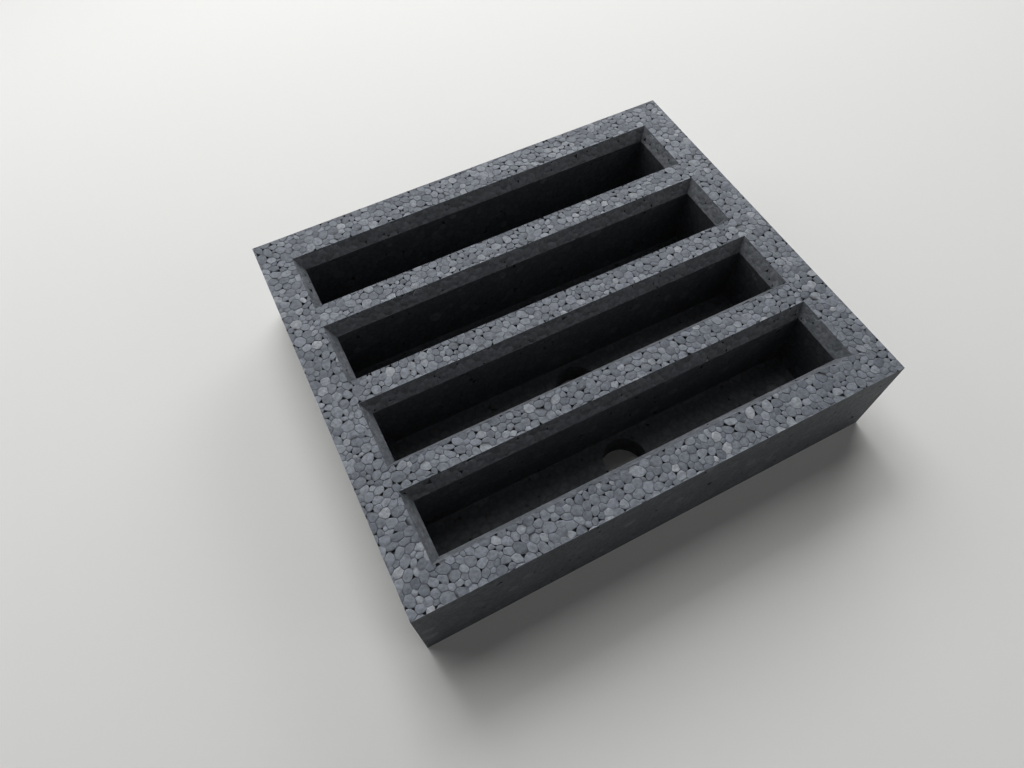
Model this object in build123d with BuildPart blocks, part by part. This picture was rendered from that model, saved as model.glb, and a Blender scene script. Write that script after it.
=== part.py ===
from build123d import *
import os

# A transit insert of moulded bead foam: one block with a row of long open pockets.
# Each pocket has a bevelled lead-in round its mouth and a finger hole in its floor.
# Millimetres, +Z up, origin at the centre of the underside, +X along the pockets.

# Outside of the block
length = 225.0
depth = 193.0
height = 50.0

# Row of pockets, one behind the other along Y
pocket_count = 4
end_wall = 15.0         # top face, from a pocket's end to the block's end
side_wall = 15.0        # top face, outside the first and the last pocket
rib = 11.5              # top face, between two pockets
floor_thickness = 12.0  # foam left under a pocket

# Bevelled lead-in round each mouth
lead_in_depth = 6.0     # down the pocket wall
lead_in_inset = 3.7     # across the top face

# Round hole through each floor, to push the packed item out from below
floor_ledge = 2.4       # floor left between the hole and each long pocket wall

# Pocket and hole sizes, worked out from the block and its walls
mouth_length = length - 2 * end_wall
mouth_width = (depth - 2 * side_wall - (pocket_count - 1) * rib) / pocket_count
pocket_pitch = mouth_width + rib
pocket_length = mouth_length - 2 * lead_in_inset
pocket_width = mouth_width - 2 * lead_in_inset
pocket_depth = height - floor_thickness
finger_hole_diameter = pocket_width - 2 * floor_ledge


with BuildPart() as foam_insert:
    # Plain block
    with BuildSketch():
        Rectangle(length, depth)
    extrude(amount=height)

    # Straight-sided pockets, sunk from the top face
    with BuildSketch(Plane.XY.offset(height)):
        with GridLocations(0, pocket_pitch, 1, pocket_count):
            Rectangle(pocket_length, pocket_width)
    extrude(amount=-pocket_depth, mode=Mode.SUBTRACT)

    # Lead-in bevels, which widen each pocket to its mouth
    top_face = foam_insert.faces().sort_by(Axis.Z)[-1]
    mouth_edges = top_face.inner_wires().edges()
    chamfer(mouth_edges, length=lead_in_inset, length2=lead_in_depth, reference=top_face)

    # Finger holes, up from the underside and through the middle of each floor
    with BuildSketch():
        with GridLocations(0, pocket_pitch, 1, pocket_count):
            Circle(finger_hole_diameter / 2)
    extrude(amount=floor_thickness, mode=Mode.SUBTRACT)

foam_insert.part.label = "foam_insert"

os.makedirs("parts", exist_ok=True)
export_step(foam_insert.part, "parts/foam_insert.step")
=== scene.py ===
import math
import random

import bmesh
import bpy
from mathutils import Matrix, Vector, geometry, kdtree


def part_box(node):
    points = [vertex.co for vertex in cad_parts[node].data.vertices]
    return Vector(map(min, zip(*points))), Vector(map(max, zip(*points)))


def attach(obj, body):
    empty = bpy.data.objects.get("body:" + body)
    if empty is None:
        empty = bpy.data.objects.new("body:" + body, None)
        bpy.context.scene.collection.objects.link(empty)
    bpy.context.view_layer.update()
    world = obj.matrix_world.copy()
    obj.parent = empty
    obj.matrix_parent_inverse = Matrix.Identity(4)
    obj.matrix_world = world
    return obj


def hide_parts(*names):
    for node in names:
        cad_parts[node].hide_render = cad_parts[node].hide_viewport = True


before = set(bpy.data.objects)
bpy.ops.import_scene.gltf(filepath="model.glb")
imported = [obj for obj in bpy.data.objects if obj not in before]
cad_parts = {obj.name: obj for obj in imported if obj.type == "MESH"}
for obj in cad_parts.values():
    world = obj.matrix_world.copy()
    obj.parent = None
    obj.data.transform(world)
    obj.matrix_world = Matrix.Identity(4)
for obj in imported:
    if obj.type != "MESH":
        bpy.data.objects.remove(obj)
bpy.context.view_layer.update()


# Foam block
# One block of expanded bead foam, steam-moulded in a tool. Each bead swells until it meets its
# neighbours, so the skin is a pavement of flattened beads with seams and small voids between them.
# The top is open and knobbly; the walls were pressed smooth by the tool and show only faint beads.

mm = 0.001
rng = random.Random(7)

block_low, block_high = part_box("foam_insert")
block_length, block_depth, block_height = block_high - block_low

# Beads of a few sizes, the largest set down first: radius in mm, and tries for each pitch square
bead_sizes = ((1.85, 0.5), (1.65, 1.8), (1.47, 3.5), (1.28, 6.0), (1.05, 7.0))
bead_pitch = 3.3 * mm
bead_squeeze = 0.93     # least distance of two beads' middles, as a share of their radii's sum


def scatter_beads(across, up, swelling):
    """Bead middles and radii, packed at random over a rectangle round the origin."""
    cell = 5 * mm
    filled = {}
    beads = []
    for size, share in bead_sizes:
        radius = size * swelling * mm
        for _ in range(int(share * across * up / bead_pitch**2)):
            x = rng.uniform(-across / 2, across / 2)
            y = rng.uniform(-up / 2, up / 2)
            column, row = int(x // cell), int(y // cell)
            near = [
                bead
                for i in (column - 1, column, column + 1)
                for j in (row - 1, row, row + 1)
                for bead in filled.get((i, j), ())
            ]
            if all(math.hypot(x - u, y - v) > bead_squeeze * (radius + r) for u, v, r in near):
                beads.append((x, y, radius))
                filled.setdefault((column, row), []).append(beads[-1])
    return beads


def bead_sheet(name, across, up, swelling=1.0):
    """A flat sheet of many-sided beads, a little larger than the panel that is cut from it."""
    spare = 12 * mm
    overhang = 3 * mm
    beads = scatter_beads(across + spare, up + spare, swelling)
    middles = [Vector((x, y)) for x, y, _ in beads]
    _, _, triangles, _, _, _ = geometry.delaunay_2d_cdt(middles, [], [], 0, 1e-9)
    junctions = []
    rings = {}
    for number, corners in enumerate(triangles):
        pull = [1 / beads[i][2] for i in corners]
        junction = sum((middles[i] * p for i, p in zip(corners, pull)), Vector((0, 0)))
        junctions.append(junction / sum(pull))
        for i in corners:
            rings.setdefault(i, []).append(number)
    cells = []
    for i, ring in sorted(rings.items()):
        middle = middles[i]
        if abs(middle.x) < across / 2 + overhang and abs(middle.y) < up / 2 + overhang:
            ring.sort(key=lambda n: math.atan2(*(junctions[n] - middle).yx))
            cells.append(ring)
    mesh = bpy.data.meshes.new(name)
    mesh.from_pydata([j.to_3d() for j in junctions], [], cells)
    tone = mesh.attributes.new("bead_tone", "FLOAT", "FACE")
    tone.data.foreach_set("value", [rng.random() for _ in cells])
    mesh.attributes.new("bead_depth", "FLOAT", "POINT")
    sheet = bpy.data.objects.new(name, mesh)
    bpy.context.collection.objects.link(sheet)
    bpy.ops.object.select_all(action="DESELECT")
    sheet.select_set(True)
    bpy.context.view_layer.objects.active = sheet
    bpy.ops.object.mode_set(mode="EDIT")
    bpy.ops.mesh.select_all(action="SELECT")
    bpy.ops.mesh.delete_loose()
    return sheet


def pick(mode, wanted):
    """In edit mode, selects the vertices, edges or faces that wanted() says yes to."""
    bpy.ops.mesh.select_mode(type=mode)
    bpy.ops.mesh.select_all(action="DESELECT")
    data = bpy.context.object.data
    shape = bmesh.from_edit_mesh(data)
    for item in {"VERT": shape.verts, "EDGE": shape.edges, "FACE": shape.faces}[mode]:
        if wanted(item):
            item.select = True
    shape.select_flush_mode()
    bmesh.update_edit_mesh(data)


def is_bead(face):
    """A bead has four sides or more; an opened junction between beads has three."""
    return len(face.verts) > 3


def cut(axis, at, low=None, high=None):
    """Cuts the sheet along one line, for its whole width or only from low to high."""
    beside_line = 4 * mm
    past_ends = 2 * mm

    def near(face):
        middle = face.calc_center_median()
        if abs(middle[axis] - at) > beside_line:
            return False
        return low is None or low - past_ends < middle[1 - axis] < high + past_ends

    pick("FACE", near)
    normal = (1, 0, 0) if axis == 0 else (0, 1, 0)
    bpy.ops.mesh.bisect(plane_co=[n * at for n in normal], plane_no=normal, threshold=1e-7)


def pick_junctions(share):
    """Selects a random share of the junctions where only beads meet. They are drawn in the order of
    their places, because an operator may leave the points in another order each time it is run."""
    shape = bmesh.from_edit_mesh(bpy.context.object.data)
    whole = [v.co[:] for v in shape.verts
             if not v.is_boundary and all(is_bead(f) for f in v.link_faces)]
    drawn = {spot for spot in sorted(whole) if rng.random() < share}
    pick("VERT", lambda v: v.co[:] in drawn)


# Relief of the open beads
opened_junctions = ((0.09, 44), (0.14, 32), (0.2, 13))     # share of them, percent of a bead's side
seam_width = 0.11 * mm
seam_depth = 0.16 * mm
shoulder_width = 0.4 * mm
shoulder_height = 0.06 * mm
bead_tip = 0.055     # usual slope of a bead's top
bead_lift = 0.03 * mm
most_lift = 0.1 * mm
least_void = 0.75 * mm     # a junction opened less than this is only rounded
void_rim = 0.05 * mm
void_depth = 0.9 * mm
top_allowance = 0.02 * mm


def open_beads():
    """Low domed beads with fine seams; some of their junctions are open voids, some just rounded."""
    for share, gap in opened_junctions:
        pick_junctions(share)
        bpy.ops.mesh.bevel(affect="VERTICES", offset_type="PERCENT", offset_pct=gap)
    # each bead stands a little out of its seam, tips a little, and has a rounded shoulder
    pick("FACE", is_bead)
    bpy.ops.mesh.inset(use_individual=True, thickness=seam_width, depth=seam_depth)
    data = bpy.context.object.data
    shape = bmesh.from_edit_mesh(data)
    beads = [f for f in shape.faces if f.select]
    for face in sorted(beads, key=lambda f: min(v.co[:] for v in f.verts)):
        middle = face.calc_center_median()
        lift = rng.gauss(0, bead_lift)
        tip_x, tip_y = rng.gauss(0, bead_tip), rng.gauss(0, bead_tip)
        for corner in face.verts:
            away = corner.co - middle
            corner.co.z += min(lift + tip_x * away.x + tip_y * away.y, most_lift)
    shape.normal_update()
    bmesh.update_edit_mesh(data)
    bpy.ops.mesh.inset(use_individual=True, thickness=shoulder_width, depth=shoulder_height)
    pick("FACE", lambda f: not is_bead(f) and f.calc_area() > least_void**2 / 2)
    bpy.ops.mesh.inset(use_individual=True, thickness=void_rim, depth=-void_depth)
    pick("VERT", lambda v: True)
    bpy.ops.transform.translate(value=(0, 0, -seam_depth - shoulder_height - top_allowance))


def finish_sheet():
    """Puts points and faces in the order of their places, so that welding goes the same way each
    time, stores how deep each point lies below the bead tops, and marks the sheet's outline."""
    bpy.ops.object.mode_set(mode="OBJECT")
    sheet = bpy.context.object
    loose = sheet.data
    spots = sorted({v.co[:] for v in loose.vertices})
    number = {spot: i for i, spot in enumerate(spots)}
    tones = loose.attributes["bead_tone"].data
    faces = []
    for face in loose.polygons:
        ring = [number[loose.vertices[i].co[:]] for i in face.vertices]
        first = ring.index(min(ring))
        faces.append((ring[first:] + ring[:first], tones[face.index].value))
    faces.sort()
    data = bpy.data.meshes.new(sheet.name)
    data.from_pydata(spots, [], [ring for ring, _ in faces])
    data.attributes.new("bead_tone", "FLOAT", "FACE")
    data.attributes["bead_tone"].data.foreach_set("value", [tone for _, tone in faces])
    data.attributes.new("bead_depth", "FLOAT", "POINT")
    sheet.data = data
    bpy.data.meshes.remove(loose)
    bpy.ops.object.mode_set(mode="EDIT")
    pick("EDGE", lambda e: e.is_boundary)
    bpy.ops.mesh.mark_sharp()
    shape = bmesh.from_edit_mesh(data)
    depth_of = shape.verts.layers.float["bead_depth"]
    for corner in shape.verts:
        if corner.is_boundary:
            corner.co.z = 0
        corner[depth_of] = corner.co.z
    bmesh.update_edit_mesh(data)
    bpy.ops.object.mode_set(mode="OBJECT")


map_name = "OFBake"     # the skin laid out flat, for baking


def place(sheet, middle, across, up):
    """Stands a flat sheet in its place on the block: its x along across, its y along up."""
    flat = sheet.data.uv_layers.new(name=map_name).data
    for loop in sheet.data.loops:
        flat[loop.index].uv = sheet.data.vertices[loop.vertex_index].co.xy
    across, up = Vector(across), Vector(up)
    turn = Matrix((across, up, across.cross(up))).transposed().to_4x4()
    sheet.data.transform(Matrix.Translation(middle) @ turn)


# Pockets, each size as in the CAD
pocket_count = 4
end_wall = 15.0 * mm
side_wall = 15.0 * mm
rib = 11.5 * mm
floor_thickness = 12.0 * mm
lead_in_depth = 6.0 * mm
lead_in_inset = 3.7 * mm
floor_ledge = 2.4 * mm

mouth_length = block_length - 2 * end_wall
mouth_width = (block_depth - 2 * side_wall - (pocket_count - 1) * rib) / pocket_count
pocket_length = mouth_length - 2 * lead_in_inset
pocket_width = mouth_width - 2 * lead_in_inset
wall_height = block_height - lead_in_depth - floor_thickness
pocket_pitch = mouth_width + rib
pocket_middles = [(i - (pocket_count - 1) / 2) * pocket_pitch for i in range(pocket_count)]
hole_radius = pocket_width / 2 - floor_ledge

# Top face, cut out round the mouths; the hem beside each cut levels out to the edge
half_length, half_depth = block_length / 2, block_depth / 2
hem = 0.25 * mm
top = bead_sheet("top_face", block_length, block_depth)
open_beads()
for side in (-1, 1):
    for offset in (hem, 0):
        cut(0, side * (half_length - offset))
        cut(1, side * (half_depth - offset))
for middle in pocket_middles:
    for side in (-1, 1):
        for offset in (hem, 0):
            near_end = side * (mouth_length / 2 + offset)
            near_side = middle + side * (mouth_width / 2 + offset)
            cut(0, near_end, middle - mouth_width / 2, middle + mouth_width / 2)
            cut(1, near_side, -mouth_length / 2, mouth_length / 2)


def off_the_land(face):
    """Whether a face of the top lies over a pocket's mouth or beyond the block."""
    x, y, _ = face.calc_center_median()
    if abs(x) > half_length or abs(y) > half_depth:
        return True
    in_row = any(abs(y - middle) < mouth_width / 2 for middle in pocket_middles)
    return in_row and abs(x) < mouth_length / 2


pick("FACE", off_the_land)
bpy.ops.mesh.delete(type="FACE")
finish_sheet()
panels = [top]
place(top, (0, 0, block_height), (1, 0, 0), (0, 1, 0))


# Relief of the pressed beads
pillow_edge = 0.3 * mm
pit_rim = 0.05 * mm
pit_depth = 0.6 * mm
seam_level = 0.01 * mm     # a bead's middle stands above this, and no point of a pit does


def pressed_beads(dip, crowned, pitted):
    """Beads flattened by the tool: flat pillows with a seam round them, or low crowned ones."""
    for share, gap in ((pitted / 5, 60), (pitted, 32)):
        pick_junctions(share)
        bpy.ops.mesh.bevel(affect="VERTICES", offset_type="PERCENT", offset_pct=gap)
    pick("FACE", is_bead)
    if crowned:
        bpy.ops.mesh.poke(offset=dip)
    else:
        bpy.ops.mesh.inset(use_individual=True, thickness=pillow_edge, depth=dip)
    pick("FACE", lambda f: not is_bead(f) and all(v.co.z < seam_level for v in f.verts))
    bpy.ops.mesh.inset(use_individual=True, thickness=pit_rim, depth=-pit_depth)
    pick("VERT", lambda v: True)
    bpy.ops.transform.translate(value=(0, 0, -dip))


def trim(point, outward):
    """Cuts away everything of the sheet that lies beyond a line."""
    pick("FACE", lambda f: True)
    bpy.ops.mesh.bisect(plane_co=point, plane_no=outward, clear_outer=True, threshold=1e-7)


hole_corners = 48


def cut_round(middle_x, middle_y, radius):
    """Cuts a round hole through the sheet, one short straight cut after another."""
    beside_cut = 3.5 * mm
    step = 2 * math.pi / hole_corners
    reach = radius * math.cos(step / 2)
    ways = [Vector((math.cos(i * step), math.sin(i * step), 0)) for i in range(hole_corners)]
    middle = Vector((middle_x, middle_y, 0))
    for way in ways:
        spot = middle + reach * way
        pick("FACE", lambda f: (f.calc_center_median() - spot).length < beside_cut)
        bpy.ops.mesh.bisect(plane_co=spot, plane_no=way, threshold=1e-7)

    def inside(face):
        away = face.calc_center_median() - middle
        away.z = 0
        return away.length < radius and max(away.dot(way) for way in ways) < reach

    pick("FACE", inside)
    bpy.ops.mesh.delete(type="FACE")


def panel(name, across, up, dip, swelling=1.3, crowned=True, pitted=0.03, narrow=0, holes=()):
    """A pressed panel of the skin. Its lower edge is shorter than its upper one by narrow, each end."""
    sheet = bead_sheet(name, across, up, swelling)
    pressed_beads(dip, crowned, pitted)
    trim((0, up / 2, 0), (0, 1, 0))
    trim((0, -up / 2, 0), (0, -1, 0))
    for side in (-1, 1):
        trim((side * across / 2, up / 2, 0), (side * up, -narrow, 0))
    for middle_x, middle_y in holes:
        cut_round(middle_x, middle_y, hole_radius)
    finish_sheet()
    panels.append(sheet)
    return sheet


up_z = Vector((0, 0, 1))
quarter_turns = [Vector((round(math.cos(a)), round(math.sin(a)), 0)) for a in
                 (0, math.pi / 2, math.pi, math.pi * 1.5)]

# Outer walls: one for each way they face
wall_relief = 0.12 * mm
for facing in quarter_turns:
    wide = block_depth if facing.x else block_length
    reach = block_length / 2 if facing.x else block_depth / 2
    wall = panel("outer_wall", wide, block_height, wall_relief)
    place(wall, facing * reach + up_z * block_height / 2, up_z.cross(facing), up_z)

# Lead-ins, pocket walls and floors
lead_in_relief = 0.08 * mm
floor_relief = 0.15 * mm
lead_in_slope = math.hypot(lead_in_depth, lead_in_inset)
for middle in pocket_middles:
    for facing in quarter_turns:
        ends = bool(facing.x)
        wide = mouth_width if ends else mouth_length
        reach = mouth_length / 2 if ends else mouth_width / 2
        lead_in = panel("lead_in", wide, lead_in_slope, lead_in_relief, swelling=1.1,
                        crowned=False, pitted=0.07, narrow=lead_in_inset)
        rise = (lead_in_depth * up_z - lead_in_inset * facing).normalized()
        centre = Vector((0, middle, 0)) - facing * (reach - lead_in_inset / 2)
        place(lead_in, centre + up_z * (block_height - lead_in_depth / 2), up_z.cross(facing), rise)
    for facing in quarter_turns:
        ends = bool(facing.x)
        wide = pocket_width if ends else pocket_length
        reach = pocket_length / 2 if ends else pocket_width / 2
        wall = panel("pocket_wall", wide, wall_height, wall_relief)
        centre = Vector((0, middle, floor_thickness + wall_height / 2)) - facing * reach
        place(wall, centre, up_z.cross(facing), up_z)
    pocket_floor = panel("pocket_floor", pocket_length, pocket_width, floor_relief, holes=[(0, 0)])
    place(pocket_floor, (0, middle, floor_thickness), (1, 0, 0), (0, 1, 0))

# Underside, and the walls of the finger holes
underside = panel("underside", block_length, block_depth, wall_relief, swelling=1.45, pitted=0,
                  holes=[(0, -middle) for middle in pocket_middles])
place(underside, (0, 0, 0), (1, 0, 0), (0, -1, 0))
for middle in pocket_middles:
    bpy.ops.object.select_all(action="DESELECT")
    bpy.ops.mesh.primitive_cylinder_add(
        vertices=hole_corners, radius=hole_radius, depth=floor_thickness,
        end_fill_type="NOTHING", location=(0, middle, floor_thickness / 2),
        rotation=(0, 0, math.pi / hole_corners))
    hole_wall = bpy.context.object
    bpy.ops.object.transform_apply(location=True, rotation=True, scale=True)
    rolled = hole_wall.data
    rolled.uv_layers.remove(rolled.uv_layers[0])
    flat = rolled.uv_layers.new(name=map_name).data
    for face in rolled.polygons:
        bearing = math.atan2(face.center.y - middle, face.center.x)
        for index in face.loop_indices:
            corner = rolled.vertices[rolled.loops[index].vertex_index].co
            turned = math.atan2(corner.y - middle, corner.x) - bearing
            turned = (turned + math.pi) % (2 * math.pi) - math.pi
            flat[index].uv = ((bearing + turned) * hole_radius, corner.z)
    bpy.ops.object.mode_set(mode="EDIT")
    bpy.ops.mesh.select_all(action="SELECT")
    bpy.ops.mesh.flip_normals()
    pick("EDGE", lambda e: e.is_boundary)
    bpy.ops.mesh.mark_sharp()
    bpy.ops.object.mode_set(mode="OBJECT")
    panels.append(hole_wall)

# The flat panels are set side by side in rows on the map, the tallest first
map_rows_width = 455 * mm
gap = 2 * mm
row_x = row_y = row_height = 0
corners_of = {}
for sheet in panels:
    flat = sheet.data.uv_layers[map_name].data
    spots = [loop.uv.copy() for loop in flat]
    low_x, low_y = min(s.x for s in spots), min(s.y for s in spots)
    wide, high = max(s.x for s in spots) - low_x, max(s.y for s in spots) - low_y
    corners_of[sheet.name] = (low_x, low_y, wide, high)
places = {}
for sheet in sorted(panels, key=lambda p: -round(corners_of[p.name][3], 4)):
    low_x, low_y, wide, high = corners_of[sheet.name]
    if row_x + wide > map_rows_width:
        row_x, row_y, row_height = 0, row_y + row_height + gap, 0
    places[sheet.name] = Vector((row_x - low_x, row_y - low_y))
    row_x += wide + gap
    row_height = max(row_height, high)
map_side = max(map_rows_width, row_y + row_height)
for sheet in panels:
    for loop in sheet.data.uv_layers[map_name].data:
        loop.uv = (loop.uv + places[sheet.name]) / map_side

# The panels become one closed skin: each outline takes the points of the one it meets
bpy.ops.object.select_all(action="DESELECT")
for sheet in panels:
    sheet.select_set(True)
foam_block = panels[0]
bpy.context.view_layer.objects.active = foam_block
bpy.ops.object.join()
foam_block.name = "foam_block"
foam_block.data.name = "foam_block"
bpy.ops.object.mode_set(mode="EDIT")


def share_points(tolerance):
    """Gives each open edge the points of the outline beside it, so that the two can be merged."""
    shape = bmesh.from_edit_mesh(foam_block.data)
    outline = [e for e in shape.edges if e.is_boundary]
    corners = list(dict.fromkeys(v for e in outline for v in e.verts))
    tree = kdtree.KDTree(len(corners))
    for number, corner in enumerate(corners):
        tree.insert(corner.co, number)
    tree.balance()
    for edge in outline:
        start, end = edge.verts
        run = end.co - start.co
        span = run.length
        marks = []
        for spot, _, _ in tree.find_range((start.co + end.co) / 2, span / 2 + tolerance):
            along = (spot - start.co).dot(run) / span
            off = (spot - start.co - run * along / span).length
            if off < tolerance and tolerance < along < span - tolerance:
                marks.append(along)
        done = 0
        last = 0
        for along in sorted(marks):
            if along - last > tolerance:
                edge, start = bmesh.utils.edge_split(edge, start, (along - done) / (span - done))
                done = last = along
                edge = next(e for e in start.link_edges if end in e.verts)
    bmesh.update_edit_mesh(foam_block.data)


weld = 0.01 * mm
sliver = 0.2 * mm
pick("VERT", lambda v: v.is_boundary)
bpy.ops.mesh.remove_doubles(threshold=weld)
share_points(weld)
pick("VERT", lambda v: v.is_boundary)
bpy.ops.mesh.remove_doubles(threshold=2 * weld)
bpy.ops.object.mode_set(mode="OBJECT")
bpy.ops.object.mode_set(mode="EDIT")
# what still doesn't meet is a sliver at a corner of a bead: it is merged away, or filled
for width in (weld, sliver, sliver):
    pick("VERT", lambda v: any(len(e.link_faces) != 2 for e in v.link_edges))
    bpy.ops.mesh.remove_doubles(threshold=width)
    bpy.ops.mesh.select_all(action="SELECT")
    bpy.ops.mesh.dissolve_degenerate(threshold=weld)
    pick("EDGE", lambda e: e.is_boundary)
    bpy.ops.mesh.fill_holes(sides=0)
bpy.ops.mesh.select_all(action="SELECT")
bpy.ops.mesh.normals_make_consistent(inside=False)
bpy.ops.object.mode_set(mode="OBJECT")
fold = math.radians(55)
bpy.ops.object.shade_smooth_by_angle(angle=fold, keep_sharp_edges=True)


def linear(hex_colour):
    """An sRGB hex colour as the linear values that a shader takes."""
    parts = [int(hex_colour[i:i + 2], 16) / 255 for i in (1, 3, 5)]
    return (*[p / 12.92 if p <= 0.04045 else ((p + 0.055) / 1.055) ** 2.4 for p in parts], 1)


def node(material, kind, inputs=None, **settings):
    """Adds a node to the material with its settings, and its inputs as values or links."""
    tree = material.node_tree
    added = tree.nodes.new("ShaderNode" + kind)
    for name, value in settings.items():
        setattr(added, name, value)
    for name, value in (inputs or {}).items():
        if isinstance(value, bpy.types.NodeSocket):
            tree.links.new(value, added.inputs[name])
        else:
            added.inputs[name].default_value = value
    return added


# Charcoal expanded polypropylene, steam-moulded: satin, because the skin of each bead has set
# against the tool. The cells inside the beads are 0.1 to 0.3 mm, too fine to show, so their grain
# is drawn at 0.7 mm. The dents where a bead's skin has shrunk a little are about half a bead wide.
grain_size = 0.7 * mm
grain_height = 0.1 * mm
dent_size = 1.6 * mm
dent_height = 0.5 * mm
# how dark the painted shade in the deepest voids is
painted_void_shade = 0.1
noise_middle = {"From Min": 0.3, "From Max": 0.7}


def bead_material(name, greys, painted_seam_shade, seam_from, seam_to, gloss_from, gloss_to):
    """Bead foam in which each bead is a grey of its own, with painted highlights in patches, and
    painted shade that darkens its seams and blackens its voids.
    """
    foam = bpy.data.materials.new(name)
    foam.use_nodes = True
    foam.node_tree.nodes.clear()
    on_block = node(foam, "TexCoord").outputs["Object"]
    tone = node(foam, "Attribute", attribute_name="bead_tone").outputs["Fac"]
    depth = node(foam, "Attribute", attribute_name="bead_depth").outputs["Fac"]
    grey = node(foam, "ValToRGB", {"Fac": tone})
    stops = grey.color_ramp.elements
    for position, _ in greys[1:-1]:
        stops.new(position)
    for stop, (position, colour) in zip(stops, greys):
        stop.position = position
        stop.color = linear(colour)
    grain = node(foam, "TexNoise", {
        "Vector": on_block, "Scale": 1 / grain_size, "Detail": 3.0, "Roughness": 0.6})
    dent = node(foam, "TexNoise", {
        "Vector": on_block, "Scale": 1 / dent_size, "Detail": 2.0, "Roughness": 0.5})
    mottle = node(foam, "MapRange", {
        "Value": grain.outputs["Fac"], **noise_middle, "To Min": 0.9, "To Max": 1.1})
    # Painted highlights and shade: the colour is lighter and darker in patches that follow the dents,
    # for the light the bead faces catch.
    painted_highlight_patch = node(foam, "MapRange", {
        "Value": dent.outputs["Fac"], **noise_middle, "To Min": 0.73, "To Max": 1.25})
    # Painted shade: the colour darkens with depth below the bead tops, in the seams between beads.
    painted_seam_darkening = node(foam, "MapRange", {
        "Value": depth, "From Min": seam_from, "From Max": seam_to,
        "To Min": painted_seam_shade, "To Max": 1.0})
    # Painted shade: the colour goes nearly black at the depth of the voids.
    painted_void_darkening = node(foam, "MapRange", {
        "Value": depth, "From Min": -0.5 * mm, "From Max": -0.25 * mm,
        "To Min": painted_void_shade, "To Max": 1.0})
    shade = mottle.outputs["Result"]
    for factor in (painted_seam_darkening, painted_void_darkening, painted_highlight_patch):
        shade = node(foam, "Math", {
            0: shade, 1: factor.outputs["Result"]}, operation="MULTIPLY").outputs["Value"]
    colour = node(foam, "VectorMath", {
        0: grey.outputs["Color"], "Scale": shade}, operation="SCALE")
    gloss = node(foam, "MapRange", {
        "Value": grain.outputs["Fac"], **noise_middle, "To Min": gloss_from, "To Max": gloss_to})
    dented = node(foam, "Bump", {
        "Height": dent.outputs["Fac"], "Strength": 0.5, "Distance": dent_height})
    grained = node(foam, "Bump", {
        "Height": grain.outputs["Fac"], "Strength": 0.3, "Distance": grain_height,
        "Normal": dented.outputs["Normal"]})
    skin = node(foam, "BsdfPrincipled", {
        "Base Color": colour.outputs["Vector"], "Roughness": gloss.outputs["Result"],
        "Normal": grained.outputs["Normal"], "IOR": 1.49, "Specular IOR Level": 0.3})
    node(foam, "OutputMaterial", {"Surface": skin.outputs["BSDF"]})
    return foam


# The open beads of the top: mid greys, paler than the other skin as painted sheen, a few beads paler
# still; painted shade makes the voids between them black
open_beads_foam = bead_material(
    "moulded_bead_foam_open_painted_sheen",
    ((0.0, "#545962"), (0.35, "#60656D"), (0.8, "#6F747D"), (0.97, "#7D8289"), (1.0, "#8B8F95")),
    0.1, -0.4 * mm, -0.17 * mm, 0.5, 0.68)
# The skin pressed by the tool on the lead-ins: smooth, its beads only faint
pressed_foam = bead_material(
    "moulded_bead_foam_pressed",
    ((0.0, "#4B4F53"), (0.5, "#53565B"), (1.0, "#5C5F64")),
    0.8, -0.2 * mm, -0.07 * mm, 0.5, 0.65)
# The upright walls slid along the tool, and floors and underside were pressed on it. Their grey is
# darker still, painted shade that keeps the pockets near black
wall_foam = bead_material(
    "moulded_bead_foam_wall_painted_shade",
    ((0.0, "#35383C"), (0.6, "#3A3D41"), (0.96, "#414448"), (1.0, "#505357")),
    0.7, -0.12 * mm, -0.09 * mm, 0.55, 0.7)
foam_block.data.materials.clear()
for foam in (open_beads_foam, pressed_foam, wall_foam):
    foam_block.data.materials.append(foam)
top_skin = 1.5 * mm
# Each face takes one of the three greys by its height and how it faces, so the tone stands for light:
# level top faces the paler grey (painted sheen), upright and downward faces the darker one (painted
# shade).
for face in foam_block.data.polygons:
    height, tilt = face.center.z, face.normal.z
    level = height > block_height - top_skin and tilt > 0.65
    sloping = 0.2 < tilt < 0.9 and height > block_height - lead_in_depth
    face.material_index = 0 if level else 1 if sloping else 2

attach(foam_block, "root")
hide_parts("foam_insert")


# Table and light
# A plain pale table top under large soft lamps, the strongest behind the block. Away from the
# block the table fades into a pale backdrop, which only the camera and reflections see.

table_side = 8.0
table_pale = "#E2E2E0"
backdrop_pale = "#DEDEDC"
fade_from, fade_to = 0.36, 0.75     # distance from the middle of the table, in metres


def seen_directly(material):
    """1 for rays from the camera, off a glossy surface or through glass, 0 for light itself."""
    rays = node(material, "LightPath").outputs
    seen = node(material, "Math", {0: rays["Is Camera Ray"], 1: rays["Is Glossy Ray"]},
                operation="MAXIMUM")
    seen = node(material, "Math", {0: seen.outputs["Value"], 1: rays["Is Transmission Ray"]},
                operation="MAXIMUM")
    return seen.outputs["Value"]


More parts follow.
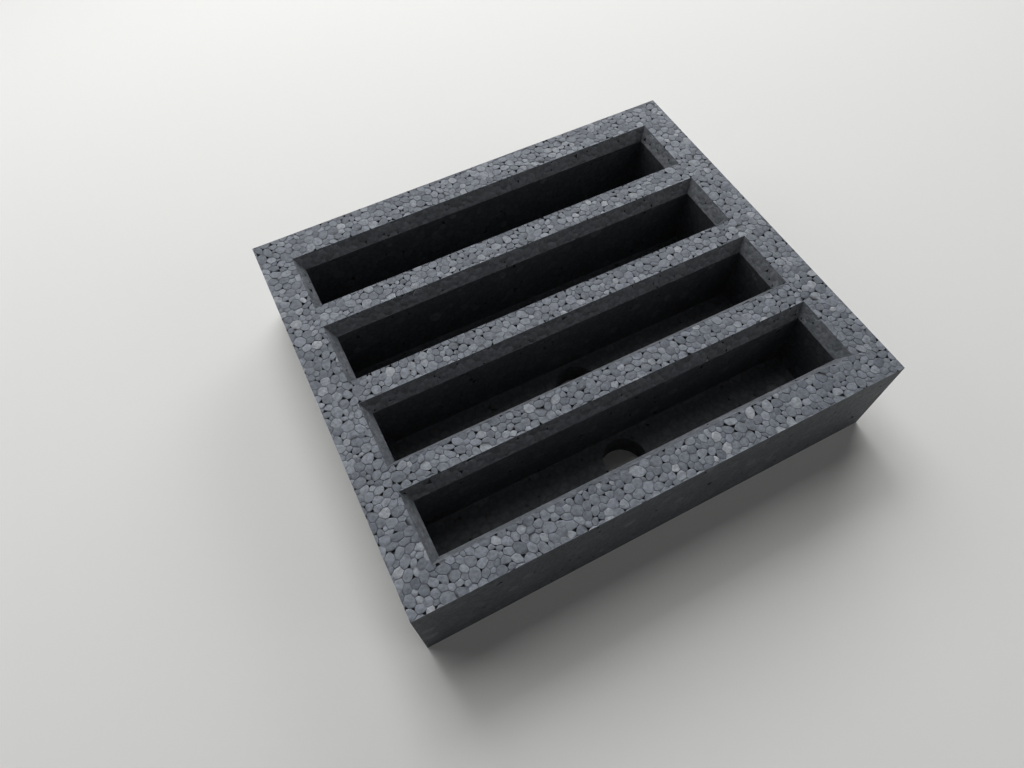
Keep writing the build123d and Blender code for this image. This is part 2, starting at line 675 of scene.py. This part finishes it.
bpy.ops.object.select_all(action="DESELECT")
bpy.ops.mesh.primitive_plane_add(size=table_side, location=(0, 0, 0))
table = bpy.context.object
table.name = "table"
table_paint = bpy.data.materials.new("matt_pale_table")
table_paint.use_nodes = True
table_paint.node_tree.nodes.clear()
matt = node(table_paint, "BsdfDiffuse", {"Color": linear(table_pale)})
pale = node(table_paint, "Emission", {"Color": linear(backdrop_pale), "Strength": 1.0})
from_middle = node(table_paint, "VectorMath", {
    0: node(table_paint, "TexCoord").outputs["Object"]}, operation="LENGTH")
far = node(table_paint, "MapRange", {
    "Value": from_middle.outputs["Value"], "From Min": fade_from, "From Max": fade_to},
    interpolation_type="SMOOTHSTEP")
fade = node(table_paint, "Math", {
    0: far.outputs["Result"], 1: seen_directly(table_paint)}, operation="MULTIPLY")
surface = node(table_paint, "MixShader", {
    0: fade.outputs["Value"], 1: matt.outputs["BSDF"], 2: pale.outputs["Emission"]})
node(table_paint, "OutputMaterial", {"Surface": surface.outputs["Shader"]})
table.data.materials.append(table_paint)

scene = bpy.context.scene
scene.view_settings.view_transform = "Standard"
room = bpy.data.worlds.new("room")
room.use_nodes = True
room.node_tree.nodes.clear()
scene.world = room
ambient = node(room, "Background", {"Color": (1, 1, 1, 1), "Strength": 0.05})
backdrop = node(room, "Background", {"Color": linear(backdrop_pale), "Strength": 1.0})
around = node(room, "MixShader", {
    0: seen_directly(room), 1: ambient.outputs["Background"], 2: backdrop.outputs["Background"]})
node(room, "OutputWorld", {"Surface": around.outputs["Shader"]})
# each lamp's bearing from +X towards +Y and its height, in degrees, and its power in watts
softboxes = ((90, 45, 10.2), (90, 65, 8.0), (45, 25, 8.8), (135, 25, 4.2), (315, 25, 2.6))
lamp_distance = 1.5
lamp_width = 0.88
for bearing, rise, power in softboxes:
    lamp_data = bpy.data.lights.new("softbox", "AREA")
    lamp_data.shape = "SQUARE"
    lamp_data.size = lamp_width
    lamp_data.energy = power
    lamp = bpy.data.objects.new("softbox", lamp_data)
    turned, raised = math.radians(bearing), math.radians(rise)
    way = Vector((math.cos(turned) * math.cos(raised), math.sin(turned) * math.cos(raised),
                  math.sin(raised)))
    lamp.location = way * lamp_distance
    lamp.rotation_euler = way.to_track_quat("Z", "Y").to_euler()
    bpy.context.collection.objects.link(lamp)


# Camera
# A wide lens near the block, high over its front left corner and turned towards its far right one.

camera_data = bpy.data.cameras.new("camera")
camera_data.lens = 24.57
camera_data.sensor_width = 36
camera_data.clip_start = 0.01
camera = bpy.data.objects.new("camera", camera_data)
camera.location = (-0.09995, -0.15974, 0.30271)
camera.rotation_euler = [math.radians(a) for a in (30.16, 0.995, -27.10)]
bpy.context.collection.objects.link(camera)
scene.camera = camera
